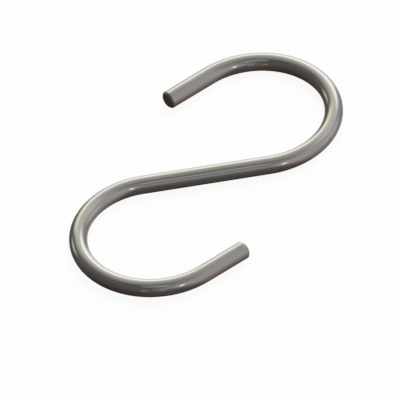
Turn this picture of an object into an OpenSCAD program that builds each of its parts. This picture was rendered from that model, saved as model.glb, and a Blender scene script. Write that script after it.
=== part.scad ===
// S hook: one length of round steel bar, bent cold into two equal open hooks that
// face opposite ways. A half turn about Z brings the hook back onto itself.
//
// It lies flat on z = 0, centred on the origin. Y is the load line, through the
// centres of both bends: hung up, the hook pulls along it. All sizes in millimetres.

/* [Bar] */
// Diameter of the round bar
bar_d = 6; // [3:0.5:8]
// How much thinner cold bending draws the bar in the bends
bend_draw = 0.02; // [0.01:0.01:0.1]

/* [Bends] */
// Radius of each bend, to the centreline of the bar
bend_r = 25; // [18:0.5:40]
// Angle that the bar turns through in each bend
bend_angle = 210; // [180:1:220]

/* [Straights] */
// Length of the straight middle, from one bend to the other
middle_l = 42; // [20:1:100]
// Length of the straight tip, from its bend to the cut end
tip_l = 17.5; // [8:0.5:25]

/* [Cut ends] */
// Width of the 45 degree chamfer around each cut end
chamfer = 0.6; // [0.2:0.1:1.2]

/* [Hidden] */
$fn = 96;

bar_r = bar_d / 2;
// Each bend runs on inside the straights by this angle, so that they are one solid
lap = 0.5;
// Direction of the middle from X, with the centres of the bends on Y
middle_angle = 90 - atan2(bend_r, middle_l / 2);

// The straight middle, along X and centred on the origin
module middle() {
    rotate([0, 90, 0])
        cylinder(r = bar_r, h = middle_l, center = true);
}

// A bend that starts at the origin along X and turns towards Y
module bend() {
    translate([0, bend_r, 0])
        rotate([0, 0, -90])
            rotate_extrude(start = -lap, angle = bend_angle + 2 * lap)
                translate([bend_r, 0])
                    circle(r = bar_r - bend_draw / 2);
}

// Takes its children to the far end of such a bend, to run on along the bar
module past_bend() {
    translate([0, bend_r, 0])
        rotate([0, 0, bend_angle])
            translate([0, -bend_r, 0])
                children();
}

// A straight tip that starts at the origin along X, with its cut end chamfered
module tip() {
    rotate([0, 90, 0]) {
        cylinder(r = bar_r, h = tip_l - chamfer);
        translate([0, 0, tip_l - chamfer])
            cylinder(r1 = bar_r, r2 = bar_r - chamfer, h = chamfer);
    }
}

module s_hook() {
    color("#8f8c87")
        translate([0, 0, bar_r])
            rotate([0, 0, middle_angle]) {
                middle();
                for (turn = [0, 180])
                    rotate([0, 0, turn])
                        translate([middle_l / 2, 0, 0]) {
                            bend();
                            past_bend() tip();
                        }
            }
}

s_hook();
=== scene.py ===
"""S hook, bent cold from one length of bright steel bar: its looks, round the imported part.

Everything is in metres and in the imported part's own frame. The hook lies flat on z = 0,
its load line runs along Y, and a half turn about Z brings it back onto itself.
"""

import logging
import math
from dataclasses import dataclass
from enum import Enum

import bmesh
import bpy
from mathutils import Matrix, Vector


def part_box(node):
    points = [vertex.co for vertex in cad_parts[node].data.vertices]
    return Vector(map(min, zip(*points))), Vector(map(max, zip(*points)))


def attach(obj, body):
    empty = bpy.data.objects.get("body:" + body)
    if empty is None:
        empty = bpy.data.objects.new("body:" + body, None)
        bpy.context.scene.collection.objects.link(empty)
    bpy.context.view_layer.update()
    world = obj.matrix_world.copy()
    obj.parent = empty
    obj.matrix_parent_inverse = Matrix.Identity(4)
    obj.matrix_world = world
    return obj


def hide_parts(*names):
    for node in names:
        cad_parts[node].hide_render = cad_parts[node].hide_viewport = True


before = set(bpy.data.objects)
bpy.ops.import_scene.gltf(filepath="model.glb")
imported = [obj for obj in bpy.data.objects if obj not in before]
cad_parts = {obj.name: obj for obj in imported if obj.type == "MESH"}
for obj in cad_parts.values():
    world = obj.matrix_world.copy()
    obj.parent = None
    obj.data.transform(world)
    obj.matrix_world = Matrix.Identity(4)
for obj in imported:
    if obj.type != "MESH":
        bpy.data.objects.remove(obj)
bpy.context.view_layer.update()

LOG = logging.getLogger("s_hook")
MM = 0.001
# The sizes in that file go down to a tenth of a micrometre.
# Vertices whose places along the bar agree to a hundredth of a micrometre are one ring across it.
STATION_DIGITS = 8
# The name under which each vertex keeps its place on the straight bar, in millimetres.
PLACE = "bar_mm"

Colour = tuple[float, float, float, float]
# What a direction shows: one colour all over, or one that nodes work out.
Shown = bpy.types.NodeSocket | Colour


class Surface(Enum):
    """The three finishes on the bar, in the order of its material slots."""

    BAR = 0
    CHAMFER = 1
    CUT_END = 2


class Tint(Enum):
    """The colours of the light in the room."""

    WHITE = "#FFFFFF"
    HAZE = "#EEF8F6"
    GARDEN = "#F4FFD4"
    ROSE = "#FFDEDA"
    SKY = "#B8D4FF"


def linear(hex_colour: str) -> Colour:
    """Turn an sRGB colour into the linear one that shaders take.

    Args:
        hex_colour: The colour as "#RRGGBB".

    Returns:
        Red, green, blue and alpha, linear, from 0 to 1.
    """
    channels = [int(hex_colour[i : i + 2], 16) / 255 for i in (1, 3, 5)]
    red, green, blue = (
        c / 12.92 if c <= 0.04045 else ((c + 0.055) / 1.055) ** 2.4 for c in channels
    )
    return red, green, blue, 1.0


def add_node(
    tree: bpy.types.NodeTree,
    kind: str,
    inputs: dict[str | int, object] | None = None,
    **settings: object,
) -> bpy.types.Node:
    """Add one node, with its settings and what goes into it.

    Args:
        tree: The node tree that gets the node.
        kind: Blender's name for the kind of node.
        inputs: For each input, by name or number, a plain value or another node's output.
        settings: The node's own settings, by name.

    Returns:
        The new node.
    """
    node = tree.nodes.new(kind)
    for name, value in settings.items():
        setattr(node, name, value)
    for key, value in (inputs or {}).items():
        if isinstance(value, bpy.types.NodeSocket):
            tree.links.new(value, node.inputs[key])
        else:
            node.inputs[key].default_value = value
    return node


def empty_material(name: str) -> bpy.types.Material:
    """Make a material whose node tree is empty."""
    material = bpy.data.materials.new(name)
    material.use_nodes = True
    material.node_tree.nodes.clear()
    return material


def ray_is(tree: bpy.types.NodeTree, *kinds: str) -> bpy.types.NodeSocket:
    """Tell some kinds of ray from the rest.

    Args:
        tree: The node tree of the world or of a material.
        kinds: The kinds of ray that count, by Light Path's own names.

    Returns:
        A socket that is 1 for those kinds and 0 for all others.
    """
    path = add_node(tree, "ShaderNodeLightPath")
    found = path.outputs[kinds[0]]
    for kind in kinds[1:]:
        either = add_node(
            tree, "ShaderNodeMath", {0: found, 1: path.outputs[kind]}, operation="MAXIMUM"
        )
        found = either.outputs[0]
    return found


def finish_metal(
    tree: bpy.types.NodeTree,
    colour: bpy.types.NodeSocket,
    roughness: bpy.types.NodeSocket | float,
    height: bpy.types.NodeSocket,
    depth_mm: float,
) -> None:
    """Finish a metal material: fine relief, the metal itself and the material's output.

    Args:
        tree: The material's node tree.
        colour: The metal's colour.
        roughness: How rough it is, the same all over or from place to place.
        height: The pattern that its relief follows, from 0 to 1.
        depth_mm: How deep that relief is, in millimetres.
    """
    relief = add_node(
        tree, "ShaderNodeBump", {"Height": height, "Strength": 1.0, "Distance": depth_mm * MM}
    )
    metal = add_node(
        tree,
        "ShaderNodeBsdfPrincipled",
        {
            "Base Color": colour,
            "Metallic": 1.0,
            "Roughness": roughness,
            "Normal": relief.outputs["Normal"],
        },
    )
    add_node(tree, "ShaderNodeOutputMaterial", {"Surface": metal.outputs["BSDF"]})


def direction(azimuth: float, elevation: float) -> Vector:
    """Give the direction out to a place round the hook.

    Args:
        azimuth: Degrees about Z, where 0 is the -Y side and 90 the +X side.
        elevation: Degrees above the horizon.

    Returns:
        A vector one unit long.
    """
    turn, rise = math.radians(azimuth), math.radians(elevation)
    flat = math.cos(rise)
    return Vector((math.sin(turn) * flat, -math.cos(turn) * flat, math.sin(rise)))


@dataclass(frozen=True)
class PolishedSteel:
    """Bright drawn steel bar, polished along its length.

    The eye sees a mid grey metal that mirrors the room softly. Faint lines run along the
    bar, left by the drawing die and the polishing belt, and the belt's pressure makes
    some stretches a little duller than others.
    """

    name: str = "polished_steel"
    bright: str = "#928F8C"
    dull: str = "#8B8885"
    roughness: float = 0.08
    roughness_spread: float = 0.03
    # Die lines are about 0.05 mm apart, too fine to show, so they are drawn 0.4 mm apart.
    line_spacing_mm: float = 0.4
    line_length_mm: float = 45.0
    line_depth_mm: float = 0.0002
    # How many finer layers the lines have, and how strong those are.
    line_layers: float = 3.0
    line_harshness: float = 0.6
    # The belt's pressure changes over about this length.
    patch_mm: float = 9.0
    patch_layers: float = 2.0
    # Between which sums of both patterns the steel goes from smoothest to dullest.
    wear_range: tuple[float, float] = (0.6, 1.4)

    def material(self) -> bpy.types.Material:
        """Make the steel's material.

        Returns:
            A material that reads the place on the straight bar, in millimetres.
        """
        material = empty_material(self.name)
        tree = material.node_tree
        place = add_node(tree, "ShaderNodeAttribute", attribute_name=PLACE)
        across = 1 / self.line_spacing_mm
        drawn = add_node(
            tree,
            "ShaderNodeMapping",
            {"Vector": place.outputs["Vector"], "Scale": (1 / self.line_length_mm, across, across)},
        )
        lines = add_node(
            tree,
            "ShaderNodeTexNoise",
            {
                "Vector": drawn.outputs["Vector"],
                "Scale": 1.0,
                "Detail": self.line_layers,
                "Roughness": self.line_harshness,
            },
        )
        patches = add_node(
            tree,
            "ShaderNodeTexNoise",
            {
                "Vector": place.outputs["Vector"],
                "Scale": 1 / self.patch_mm,
                "Detail": self.patch_layers,
            },
        )
        tone = add_node(
            tree,
            "ShaderNodeMix",
            {"Factor": patches.outputs["Fac"], "A": linear(self.dull), "B": linear(self.bright)},
            data_type="RGBA",
        )
        wear = add_node(
            tree, "ShaderNodeMath", {0: lines.outputs["Fac"], 1: patches.outputs["Fac"]}, operation="ADD"
        )
        least, most = self.wear_range
        gloss = add_node(
            tree,
            "ShaderNodeMapRange",
            {
                "Value": wear.outputs["Value"],
                "From Min": least,
                "From Max": most,
                "To Min": self.roughness - self.roughness_spread / 2,
                "To Max": self.roughness + self.roughness_spread / 2,
            },
        )
        finish_metal(
            tree, tone.outputs["Result"], gloss.outputs["Result"], lines.outputs["Fac"], self.line_depth_mm
        )
        return material


@dataclass(frozen=True)
class CutSteel:
    """Steel where the bar was sawn off and the edge was taken down.

    The eye sees a darker, browner grey than on the polished bar. The fine saw lines scatter the
    light and hold a thin film of oxide, and part of that darker brown is painted reflection:
    it stands in for the dark ground that these faces mirror.
    """

    name: str
    # The colour of the bare steel, and of the steel under the most oxide, both darkened by painted
    # reflection of the dark ground in front.
    colour: str
    oxide_film_and_shade: str
    roughness: float
    # A saw's teeth leave lines about 0.1 mm apart, drawn 0.3 mm apart so that they show.
    line_spacing_mm: float = 0.3
    # They run on for a third of a centimetre.
    line_length_mm: float = 10 / 3
    line_depth_mm: float = 0.0005
    # How many finer layers the lines have, and how strong those are.
    line_layers: float = 3.0
    line_harshness: float = 0.65
    # How far the saw's stroke is turned from the hook's own plane.
    stroke_angle: float = math.radians(20)

    def material(self) -> bpy.types.Material:
        """Make the cut steel's material.

        Returns:
            A material that reads the place on the straight bar, in millimetres.
        """
        material = empty_material(self.name)
        tree = material.node_tree
        place = add_node(tree, "ShaderNodeAttribute", attribute_name=PLACE)
        sawn = add_node(
            tree,
            "ShaderNodeMapping",
            {
                "Vector": place.outputs["Vector"],
                "Rotation": (self.stroke_angle, 0.0, 0.0),
                "Scale": (1.0, 1 / self.line_length_mm, 1 / self.line_spacing_mm),
            },
        )
        lines = add_node(
            tree,
            "ShaderNodeTexNoise",
            {
                "Vector": sawn.outputs["Vector"],
                "Scale": 1.0,
                "Detail": self.line_layers,
                "Roughness": self.line_harshness,
            },
        )
        tone = add_node(
            tree,
            "ShaderNodeMix",
            {"Factor": lines.outputs["Fac"], "A": linear(self.oxide_film_and_shade), "B": linear(self.colour)},
            data_type="RGBA",
        )
        finish_metal(
            tree, tone.outputs["Result"], self.roughness, lines.outputs["Fac"], self.line_depth_mm
        )
        return material


@dataclass(frozen=True)
class WhiteBoard:
    """Matt white board, which the hook lies on.

    The eye sees an even white, with a trace of the hook's shadow.
    """

    name: str = "white_board"
    colour: str = "#E6E5E3"
    # How much of the hook's shadow the board loses.
    lift: float = 0.93

    def material(self) -> bpy.types.Material:
        """Make the board's material.

        Returns:
            A material that is nearly plain white in sight, and matt board to all other light.
        """
        material = empty_material(self.name)
        tree = material.node_tree
        lift = add_node(
            tree, "ShaderNodeMath", {0: ray_is(tree, "Is Camera Ray"), 1: self.lift}, operation="MULTIPLY"
        )
        board = add_node(tree, "ShaderNodeBsdfDiffuse", {"Color": linear(self.colour)})
        white = add_node(tree, "ShaderNodeEmission", {"Color": linear(Tint.WHITE.value), "Strength": 1.0})
        lifted = add_node(
            tree, "ShaderNodeMixShader", {0: lift.outputs[0], 1: board.outputs[0], 2: white.outputs[0]}
        )
        add_node(tree, "ShaderNodeOutputMaterial", {"Surface": lifted.outputs[0]})
        return material


@dataclass
class HookBar:
    """The hook itself: a straight round bar, cut and chamfered, then bent twice.

    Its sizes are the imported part's, in metres. Cold bending draws the bar thinner, here by
    two hundredths of a millimetre on the radius. That is a hundredth more than in the
    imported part, and keeps the mesh inside the part's own box.
    """

    bar_radius: float = 3.0 * MM
    bend_thinning: float = 0.02 * MM
    bend_radius: float = 25.0 * MM
    bend_angle: float = math.radians(210)
    middle_length: float = 42.0 * MM
    tip_length: float = 17.5 * MM
    chamfer: float = 0.6 * MM
    rim_round: float = 0.08 * MM
    rim_steps: int = 2
    # Two faces that meet at more than this make an edge that gets rounded.
    sharp_angle: float = math.radians(30)
    # A face whose normal leans along the bar by more than this is a cut end, or a chamfer.
    end_lean: float = 0.95
    chamfer_lean: float = 0.1
    sides: int = 64
    # The last stretch of bar has no rings, so that the chamfer cuts into plain faces.
    end_margin: float = 1.5 * MM
    straight_step: float = 2.0 * MM
    bend_step: float = 0.7 * MM

    @property
    def bend_length(self) -> float:
        """The length of bar that goes into one bend."""
        return self.bend_radius * self.bend_angle

    @property
    def half_length(self) -> float:
        """Half the length that the bar is cut to."""
        return self.middle_length / 2 + self.bend_length + self.tip_length

    def build(self) -> bpy.types.Object:
        """Make the bar, bend it and dress it.

        Returns:
            The finished piece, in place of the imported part's own solid.
        """
        bm = self._straight_bar()
        self._cut_ends(bm)
        self._mark_surfaces(bm)
        self._mark_places(bm)
        self._bend(bm)
        self._lay_down(bm)
        bmesh.ops.recalc_face_normals(bm, faces=bm.faces[:])
        for face in bm.faces:
            face.smooth = True
        mesh = bpy.data.meshes.new("hook_bar")
        bm.to_mesh(mesh)
        bm.free()
        piece = bpy.data.objects.new("hook_bar", mesh)
        bpy.context.scene.collection.objects.link(piece)
        self._dress(piece)
        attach(piece, "root")
        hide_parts("s_hook")
        # The bars stay out of each other's reflections, which are then as plain as the room.
        piece.visible_glossy = False
        return piece

    def _straight_bar(self) -> bmesh.types.BMesh:
        """Draw out the straight bar along X, and cut rings across it.

        Returns:
            A closed bar with square ends, centred on the origin.
        """
        half = [
            (self.end_margin, 1),
            (self.tip_length - self.end_margin, round(self.tip_length / self.straight_step)),
            (self.bend_length, round(self.bend_length / self.bend_step)),
        ]
        middle = (self.middle_length, round(self.middle_length / self.straight_step))
        stretches = [*half, middle, *reversed(half)]
        bm = bmesh.new()
        bmesh.ops.create_circle(
            bm,
            segments=self.sides,
            radius=self.bar_radius,
            matrix=Matrix.Translation((-self.half_length, 0, 0))
            @ Matrix.Rotation(math.pi / 2, 4, "Y"),
        )
        ring = bm.edges[:]
        for length, steps in stretches:
            made = bmesh.ops.extrude_edge_only(bm, edges=ring)["geom"]
            verts = {part for part in made if isinstance(part, bmesh.types.BMVert)}
            bmesh.ops.translate(bm, verts=list(verts), vec=(length, 0, 0))
            ring = [
                part
                for part in made
                if isinstance(part, bmesh.types.BMEdge) and verts.issuperset(part.verts)
            ]
            if steps > 1:
                lengthwise = [
                    edge
                    for edge in bm.edges
                    if len(verts.intersection(edge.verts)) == 1
                ]
                bmesh.ops.subdivide_edges(
                    bm, edges=lengthwise, cuts=steps - 1, use_grid_fill=True
                )
        bmesh.ops.holes_fill(bm, edges=bm.edges[:], sides=0)
        bmesh.ops.recalc_face_normals(bm, faces=bm.faces[:])
        return bm

    def _cut_ends(self, bm: bmesh.types.BMesh) -> None:
        """Chamfer both ends, and round the chamfer's own two edges.

        Args:
            bm: The straight bar.
        """
        rims = [edge for face in bm.faces if len(face.verts) == self.sides for edge in face.edges]
        self._bevel(bm, rims, self.chamfer, 1)
        edges = [edge for edge in bm.edges if edge.calc_face_angle() > self.sharp_angle]
        self._bevel(bm, edges, self.rim_round, self.rim_steps)
        ends = [face for face in bm.faces if len(face.verts) == self.sides]
        bmesh.ops.inset_individual(bm, faces=ends, thickness=self.rim_round)

    @staticmethod
    def _bevel(
        bm: bmesh.types.BMesh, edges: list[bmesh.types.BMEdge], width: float, segments: int
    ) -> None:
        """Bevel some edges.

        Args:
            bm: The mesh that holds them.
            edges: The edges to take down.
            width: How far the bevel reaches from each edge, in metres.
            segments: 1 for a flat chamfer, more for a round.
        """
        bmesh.ops.bevel(
            bm,
            geom=edges,
            offset=width,
            offset_type="OFFSET",
            segments=segments,
            profile=0.5,
            affect="EDGES",
            material=-1,
        )

    def _mark_surfaces(self, bm: bmesh.types.BMesh) -> None:
        """Give each face the slot of its finish, while the bar is straight.

        Args:
            bm: The straight bar.
        """
        for face in bm.faces:
            lean = abs(face.normal.x)
            if lean > self.end_lean:
                face.material_index = Surface.CUT_END.value
            elif lean > self.chamfer_lean:
                face.material_index = Surface.CHAMFER.value
            else:
                face.material_index = Surface.BAR.value

    def _mark_places(self, bm: bmesh.types.BMesh) -> None:
        """Note each vertex's place on the straight bar, in millimetres.

        Args:
            bm: The straight bar. Patterns that follow the bar read these places.
        """
        layer = bm.verts.layers.float_vector.new(PLACE)
        for vert in bm.verts:
            vert[layer] = vert.co / MM

    def _bend(self, bm: bmesh.types.BMesh) -> None:
        """Bend both halves round their pins, one ring of vertices at a time.

        Args:
            bm: The straight bar, which this turns into a hook.
        """
        rings: dict[float, list[bmesh.types.BMVert]] = {}
        for vert in bm.verts:
            rings.setdefault(round(vert.co.x, STATION_DIGITS), []).append(vert)
        for station, ring in rings.items():
            past = abs(station) - self.middle_length / 2
            if past <= 0:
                continue
            side = math.copysign(1, station)
            travel = min(past, self.bend_length)
            pin = Matrix.Translation(
                (side * self.middle_length / 2, side * self.bend_radius, 0)
            )
            turn = Matrix.Rotation(travel / self.bend_radius, 4, "Z")
            back = Matrix.Translation((-side * travel, 0, 0))
            bent = pin @ turn @ pin.inverted() @ back @ self._thinned(past)
            for vert in ring:
                vert.co = bent @ vert.co

    def _thinned(self, past: float) -> Matrix:
        """Give the scaling that draws a ring a little thinner where it lies in a bend.

        Args:
            past: How far the ring is past the start of the bend.

        Returns:
            A matrix for the straight bar, whose axis is X.
        """
        room = min(past, self.bend_length - past)
        share = min(1.0, max(0.0, room / self.bar_radius))
        factor = 1 - share * self.bend_thinning / self.bar_radius
        return Matrix.Diagonal((1, factor, factor, 1))

    def _lay_down(self, bm: bmesh.types.BMesh) -> None:
        """Turn the hook so that both bends' centres are on Y, and set it on z = 0.

        Args:
            bm: The bent bar, centred on the origin.
        """
        turn = math.atan2(self.middle_length / 2, self.bend_radius)
        bmesh.ops.rotate(bm, verts=bm.verts[:], cent=(0, 0, 0), matrix=Matrix.Rotation(turn, 3, "Z"))
        bmesh.ops.translate(bm, verts=bm.verts[:], vec=(0, 0, self.bar_radius))

    @staticmethod
    def _dress(piece: bpy.types.Object) -> None:
        """Give the piece its three finishes, in the order of Surface.

        Args:
            piece: The hook.
        """
        # The chamfer's and the sawn end's darker browns are partly painted reflection of the dark ground
        # that these faces mirror.
        finishes = {
            Surface.BAR: PolishedSteel(),
            Surface.CHAMFER: CutSteel("filed_steel", colour="#8F8A84", oxide_film_and_shade="#7F7A74", roughness=0.25),
            Surface.CUT_END: CutSteel("sawn_steel", colour="#857A6F", oxide_film_and_shade="#766B60", roughness=0.35),
        }
        for surface in Surface:
            piece.data.materials.append(finishes[surface].material())


@dataclass(frozen=True)
class SoftLight:
    """One soft light that the metal shows, brightest in its middle and fading to its edges.

    Its angles are in degrees, and its bearing runs from the front of the room round to the
    right. Its peak is the light that its middle adds, where the white air is 1.
    """

    name: str
    bearing: float
    elevation: float
    width: float
    height: float
    peak: float
    tint: Tint = Tint.WHITE
    # The share of the half width and half height that is full strength.
    core: float = 0.3
    tilt: float = 0.0

    def shine(
        self,
        tree: bpy.types.NodeTree,
        toward: bpy.types.NodeSocket,
        room: Shown,
        front: float,
    ) -> bpy.types.NodeSocket:
        """Add the light to the room.

        Args:
            tree: The room's node tree.
            toward: The direction that is looked in, one unit long.
            room: The colour that the room has there so far.
            front: The azimuth that bearings are counted from, in degrees.

        Returns:
            The colour with this light in it.
        """
        out = direction(front + self.bearing, self.elevation)
        facing = out.to_track_quat("Z", "Y").to_matrix()
        turned = facing @ Matrix.Rotation(math.radians(self.tilt), 3, "Z")
        seen = add_node(
            tree,
            "ShaderNodeMapping",
            {"Vector": toward, "Rotation": turned.transposed().to_euler()},
        )
        axes = add_node(tree, "ShaderNodeSeparateXYZ", {0: seen.outputs["Vector"]})
        ahead = axes.outputs["Z"]
        across = self._fade(tree, axes.outputs["X"], ahead, self.width)
        upright = self._fade(tree, axes.outputs["Y"], ahead, self.height)
        both = add_node(tree, "ShaderNodeMath", {0: across, 1: upright}, operation="MULTIPLY")
        facing_it = add_node(tree, "ShaderNodeMath", {0: ahead, 1: 0.0}, operation="GREATER_THAN")
        share = add_node(
            tree, "ShaderNodeMath", {0: both.outputs[0], 1: facing_it.outputs[0]}, operation="MULTIPLY"
        )
        red, green, blue, _ = linear(self.tint.value)
        light = (red * self.peak, green * self.peak, blue * self.peak, 1.0)
        lit = add_node(
            tree,
            "ShaderNodeMix",
            {"Factor": share.outputs[0], "A": room, "B": light},
            data_type="RGBA",
            blend_type="ADD",
            label=self.name,
        )
        return lit.outputs["Result"]

    def _fade(
        self,
        tree: bpy.types.NodeTree,
        aside: bpy.types.NodeSocket,
        ahead: bpy.types.NodeSocket,
        spread: float,
    ) -> bpy.types.NodeSocket:
        """Fade from 1 in the light's core to 0 at two opposite edges.

        Args:
            tree: The room's node tree.
            aside: How far the direction leans to the side.
            ahead: How far it goes out to the light.
            spread: The full angle from edge to edge, in degrees.

        Returns:
            The strength, from 0 to 1.
        """
        edge = math.tan(math.radians(spread / 2))
        slope = add_node(tree, "ShaderNodeMath", {0: aside, 1: ahead}, operation="DIVIDE")
        lean = add_node(tree, "ShaderNodeMath", {0: slope.outputs[0]}, operation="ABSOLUTE")
        fade = add_node(
            tree,
            "ShaderNodeMapRange",
            {
                "Value": lean.outputs[0],
                "From Min": self.core * edge,
                "From Max": edge,
                "To Min": 1.0,
                "To Max": 0.0,
            },
            interpolation_type="SMOOTHSTEP",
        )
        return fade.outputs["Result"]


@dataclass(frozen=True)
class DarkCloth:
    """One grey cloth behind the lights, which gives the metal a dark side.

    Its angles are in degrees, and its bearing runs as a light's does.
    """

    name: str
    bearing: float
    elevation: float
    # How far from its middle the cloth ends, and up to where it is at its thickest.
    reach: float
    full: float
    # What the thick middle lets through, of white light.
    tint: str

    def shade(
        self,
        tree: bpy.types.NodeTree,
        toward: bpy.types.NodeSocket,
        room: Shown,
        front: float,
    ) -> bpy.types.NodeSocket:
        """Darken the room behind the cloth, from its clear rim to its thick middle.

        Args:
            tree: The room's node tree.
            toward: The direction that is looked in, one unit long.
            room: The colour that the room has there so far.
            front: The azimuth that bearings are counted from, in degrees.

        Returns:
            The colour with this cloth before it.
        """
        middle = direction(front + self.bearing, self.elevation)
        near = add_node(tree, "ShaderNodeVectorMath", {0: toward, 1: middle}, operation="DOT_PRODUCT")
        thickness = add_node(
            tree,
            "ShaderNodeMapRange",
            {
                "Value": near.outputs["Value"],
                "From Min": math.cos(math.radians(self.reach)),
                "From Max": math.cos(math.radians(self.full)),
            },
            interpolation_type="SMOOTHSTEP",
        )
        dimmed = add_node(
            tree,
            "ShaderNodeMix",
            {"Factor": thickness.outputs["Result"], "A": room, "B": linear(self.tint)},
            data_type="RGBA",
            blend_type="MULTIPLY",
            label=self.name,
        )
        return dimmed.outputs["Result"]


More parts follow.
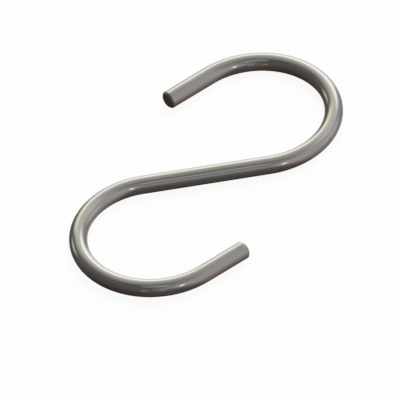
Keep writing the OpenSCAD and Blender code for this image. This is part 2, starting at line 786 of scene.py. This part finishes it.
@dataclass
class Studio:
    """The white board, the light round it, the room that metal mirrors, and the camera."""

    # Where the camera stands, in degrees. The room's bearings are counted from its azimuth.
    camera_azimuth: float = 34.1
    camera_elevation: float = 42.7
    camera_roll: float = 4.9
    view_width: float = 0.1302
    # How far the view's middle is from the hook's, to the right and up, in metres.
    view_right: float = -0.00197
    view_up: float = -0.00817
    camera_distance: float = 0.8
    # How near and how far the camera sees.
    camera_clip: tuple[float, float] = (0.01, 20.0)
    floor_size: float = 8.0
    # How much of its full white the air round the hook sheds on the board.
    air_light: float = 0.3
    # The share of a full white light that the floor lamp gives the board.
    lamp_level: float = 0.8
    lamp_distance: float = 2.0
    lamp_bearing: float = 150.0
    lamp_elevation: float = 60.0
    lamp_size: tuple[float, float] = (1.2, 1.2)
    # The dark left side with its heart and its far end, the ground, a corner and the air overhead.
    cloths: tuple[DarkCloth, ...] = (
        DarkCloth("side_cloth", -66, -25, 115, 80, "#A09F9D"),
        DarkCloth("heart_cloth", -66, -12, 68, 15, "#CECDCC"),
        DarkCloth("left_end_cloth", -132, -8, 28, 8, "#DEDDE0"),
        DarkCloth("ground_cloth", 0, -88, 100, 40, "#CBBAB1"),
        DarkCloth("brown_cloth", -115, -66, 38, 12, "#EFDFD1"),
        DarkCloth("under_cloth", -158, -70, 38, 15, "#968072"),
        DarkCloth("corner_cloth", 134, -12, 29, 10, "#DEDEDF"),
        DarkCloth("top_cloth", 0, 66, 45, 15, "#D2D1D0"),
        DarkCloth("beam_cloth", 22, 74, 12, 4, "#E6E5E4"),
    )
    # The windows behind and beside the hook, the lamps and the sky in front of it.
    lights: tuple[SoftLight, ...] = (
        SoftLight("back_sheet", 173, 8, 59, 70, 0.93, Tint.HAZE, core=0.5),
        SoftLight("back_window", 163, 24, 60, 36, 1.4, Tint.WHITE, core=0.35),
        SoftLight("far_window", -162, 27, 42, 24, 1.2, Tint.GARDEN, tilt=-45),
        SoftLight("garden", 176, 46, 44, 34, 0.65, Tint.GARDEN, core=0.2),
        SoftLight("hedge", -146, 40, 34, 26, 0.25, Tint.GARDEN, core=0.2),
        SoftLight("side_window", 126, 44, 60, 40, 0.5, Tint.WHITE),
        SoftLight("wall", 98, 3, 50, 50, 0.28, Tint.WHITE),
        SoftLight("back_floor", 145, -43, 40, 24, 0.2, Tint.SKY),
        SoftLight("skylight", -6, 57, 28, 11, 0.65, Tint.WHITE, core=0.75),
        SoftLight("front_lamp", 28, 20, 8, 24, 2.1, Tint.WHITE, tilt=-15),
        SoftLight("front_sky", 15, 20, 50, 34, 0.44, Tint.SKY),
        SoftLight("high_sky", 12, 38, 50, 28, 0.12, Tint.WHITE),
        SoftLight("left_lamp", -128, 9, 30, 30, 1.5, Tint.WHITE, core=0.0),
        SoftLight("far_strip", -20, 4, 3, 9, 2.0, Tint.ROSE),
        SoftLight("far_strip_twin", -16, 4, 3, 9, 2.0, Tint.ROSE),
        SoftLight("near_strip", 1.5, 4, 3, 9, 1.3, Tint.ROSE),
        SoftLight("near_strip_twin", 6, 4, 3, 9, 1.3, Tint.ROSE),
    )

    def build(self) -> None:
        """Make the whole studio, and say what is in its room."""
        self._camera()
        self._world()
        self._floor()
        self._floor_lamp()
        bpy.context.scene.view_settings.view_transform = "Standard"
        LOG.info("studio: %d cloths and %d lights", len(self.cloths), len(self.lights))

    def _camera(self) -> None:
        """Set the camera: no perspective, looking down on the hook, rolled a little."""
        data = bpy.data.cameras.new("camera")
        data.type = "ORTHO"
        data.ortho_scale = self.view_width
        data.clip_start, data.clip_end = self.camera_clip
        camera = bpy.data.objects.new("camera", data)
        bpy.context.scene.collection.objects.link(camera)
        out = direction(self.camera_azimuth, self.camera_elevation)
        level = (-out).to_track_quat("-Z", "Y").to_matrix()
        turned = level @ Matrix.Rotation(math.radians(-self.camera_roll), 3, "Z")
        middle = sum(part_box("s_hook"), Vector()) / 2
        aim = middle + turned @ Vector((self.view_right, self.view_up, 0))
        camera.matrix_world = Matrix.Translation(aim + out * self.camera_distance) @ turned.to_4x4()
        bpy.context.scene.camera = camera

    def _world(self) -> None:
        """Surround the hook with plain white, and light the floor with less of it.

        Metal sees the same white, with the room's soft lights and dark cloths in it.
        """
        world = bpy.data.worlds.new("studio_air")
        bpy.context.scene.world = world
        world.use_nodes = True
        tree = world.node_tree
        tree.nodes.clear()
        seen = ray_is(tree, "Is Camera Ray", "Is Transmission Ray")
        strength = add_node(
            tree,
            "ShaderNodeMapRange",
            {"Value": seen, "To Min": self.air_light, "To Max": 1.0},
        )
        white = add_node(
            tree,
            "ShaderNodeBackground",
            {"Color": linear(Tint.WHITE.value), "Strength": strength.outputs["Result"]},
        )
        room = add_node(tree, "ShaderNodeBackground", {"Color": self._room(tree), "Strength": 1.0})
        mirrored = ray_is(tree, "Is Glossy Ray")
        both = add_node(
            tree, "ShaderNodeMixShader", {0: mirrored, 1: white.outputs[0], 2: room.outputs[0]}
        )
        add_node(tree, "ShaderNodeOutputWorld", {"Surface": both.outputs[0]})

    def _room(self, tree: bpy.types.NodeTree) -> bpy.types.NodeSocket:
        """Put the cloths and then the lights before the white air.

        Args:
            tree: The world's node tree.

        Returns:
            The colour that metal sees in each direction.
        """
        place = add_node(tree, "ShaderNodeTexCoord")
        toward = place.outputs["Generated"]
        room = linear(Tint.WHITE.value)
        for cloth in self.cloths:
            room = cloth.shade(tree, toward, room, self.camera_azimuth)
        for light in self.lights:
            room = light.shine(tree, toward, room, self.camera_azimuth)
        return room

    def _floor(self) -> None:
        """Lay the white board on z = 0.

        Metal and glass look through the board, so that they show the air all round.
        """
        bm = bmesh.new()
        bmesh.ops.create_grid(bm, x_segments=1, y_segments=1, size=self.floor_size / 2)
        mesh = bpy.data.meshes.new("floor")
        bm.to_mesh(mesh)
        bm.free()
        floor = bpy.data.objects.new("floor", mesh)
        bpy.context.scene.collection.objects.link(floor)
        mesh.materials.append(WhiteBoard().material())
        floor.visible_glossy = False
        floor.visible_transmission = False

    def _floor_lamp(self) -> None:
        """Hang the lamp that lights the board and lays the hook's shadow on it."""
        data = bpy.data.lights.new("floor_lamp", "AREA")
        data.shape = "RECTANGLE"
        data.size, data.size_y = self.lamp_size
        rise = math.sin(math.radians(self.lamp_elevation))
        # At this power a white board would send back that share of full white.
        data.energy = self.lamp_level * math.pi**2 * self.lamp_distance**2 / rise
        lamp = bpy.data.objects.new("floor_lamp", data)
        bpy.context.scene.collection.objects.link(lamp)
        out = direction(self.camera_azimuth + self.lamp_bearing, self.lamp_elevation)
        lamp.location = out * self.lamp_distance
        lamp.rotation_mode = "QUATERNION"
        lamp.rotation_quaternion = (-out).to_track_quat("-Z", "Y")
        lamp.visible_camera = False
        lamp.visible_glossy = False


def main() -> None:
    """Build the hook and its studio, and note the number of the hook's faces."""
    logging.basicConfig(level=logging.INFO, format="%(name)s: %(message)s")
    Studio().build()
    hook = HookBar().build()
    LOG.info("%s: %d faces", hook.name, len(hook.data.polygons))


if __name__ == "__main__":
    main()
